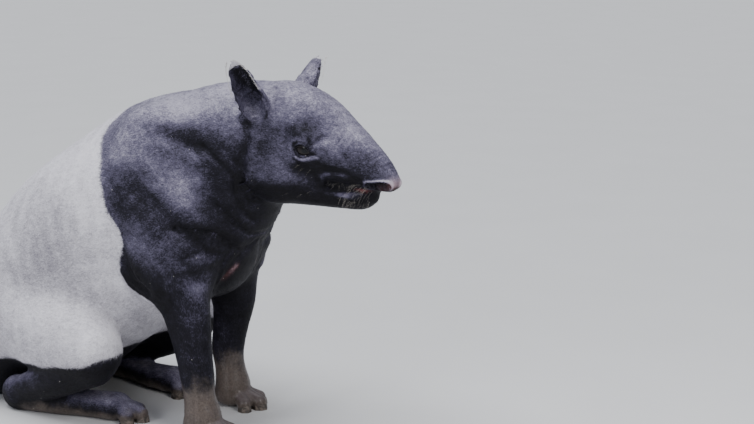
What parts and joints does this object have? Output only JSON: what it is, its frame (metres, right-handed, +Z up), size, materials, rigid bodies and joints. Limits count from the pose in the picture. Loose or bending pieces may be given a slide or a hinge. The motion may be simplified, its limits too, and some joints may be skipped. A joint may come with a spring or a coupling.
{
  "type": "malayan tapir",
  "caption": "Life-size still figure of an adult Malayan tapir sitting on its haunches, forelegs straight, head level and mouth closed",
  "frame": {"origin": "middle of the bounding box's footprint, on the floor", "axes": "+X the way the body and head face, +Y the animal's left, +Z up"},
  "size_m": [1.5788, 0.6208, 1.0595],
  "materials": {
    "black_coat": "short flat black fur over skin, satin",
    "white_coat": "short flat grey-white fur, satin",
    "eye": "dark brown, wet gloss",
    "hoof": "dark horn, dull with mud"
  },
  "bodies": {
    "root": {"head": "black_coat", "neck": "black_coat", "torso": "black_coat", "rump": "white_coat", "tail": "black_coat", "ear_right": "black_coat", "ear_left": "black_coat", "eye_right": "eye", "eye_left": "eye", "forearm_right": "black_coat", "forearm_left": "black_coat", "forefoot_right": "black_coat", "forefoot_left": "black_coat", "thigh_right": "white_coat", "thigh_left": "white_coat", "shank_right": "black_coat", "shank_left": "black_coat", "hindfoot_right": "black_coat", "hindfoot_left": "black_coat", "forehoof_right_1": "hoof", "forehoof_right_2": "hoof", "forehoof_right_3": "hoof", "forehoof_right_4": "hoof", "forehoof_left_1": "hoof", "forehoof_left_2": "hoof", "forehoof_left_3": "hoof", "forehoof_left_4": "hoof", "hindhoof_right_1": "hoof", "hindhoof_right_2": "hoof", "hindhoof_right_3": "hoof", "hindhoof_left_1": "hoof", "hindhoof_left_2": "hoof", "hindhoof_left_3": "hoof"}
  },
  "joints": []
}
